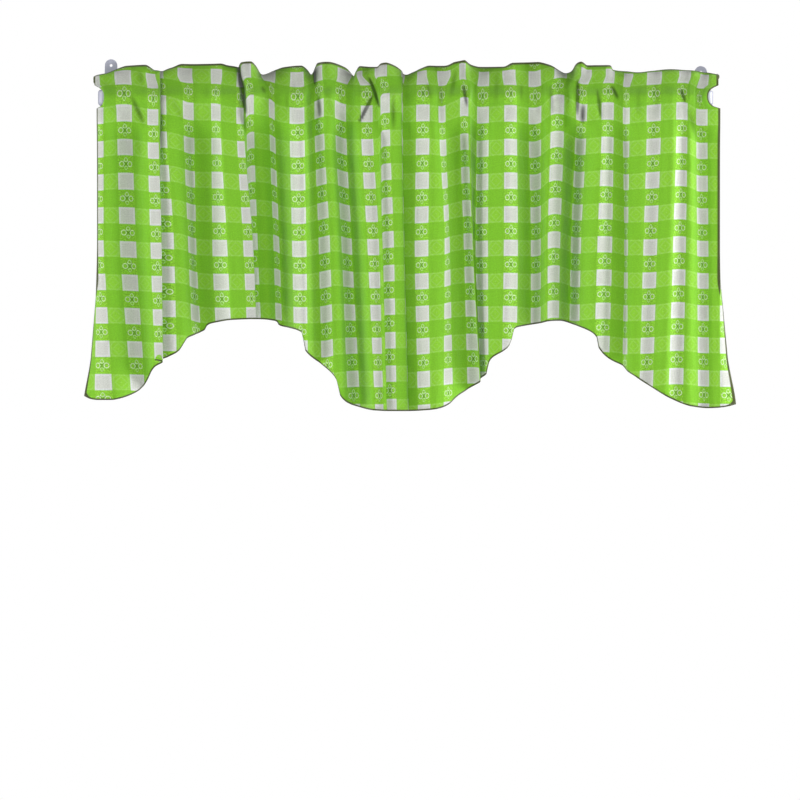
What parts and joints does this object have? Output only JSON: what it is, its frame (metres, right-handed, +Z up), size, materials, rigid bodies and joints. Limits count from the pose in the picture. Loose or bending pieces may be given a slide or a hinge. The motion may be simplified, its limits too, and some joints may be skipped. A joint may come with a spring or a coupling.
{
  "type": "scalloped window valance on curtain rod",
  "caption": "Rod-pocket window valance in green and white checked cotton, scalloped hem and frilled heading, gathered on a flat curtain rod with wall brackets.",
  "frame": {"origin": "on the wall plane, midway between the rod's ends, level with the middle of the rod pocket", "axes": "+X along the rod, to the right as seen from the room; +Y into the wall; +Z up"},
  "size_m": [0.9965, 0.0901, 0.54],
  "materials": {
    "check_cotton": "plain woven cotton in leaf green and white checks",
    "white_enamel": "white enamel on thin steel"
  },
  "bodies": {
    "root": {"valance_panel": "check_cotton", "rod_sleeve": "white_enamel", "rod_inner": "white_enamel", "bracket_left": "white_enamel", "bracket_right": "white_enamel"}
  },
  "joints": []
}
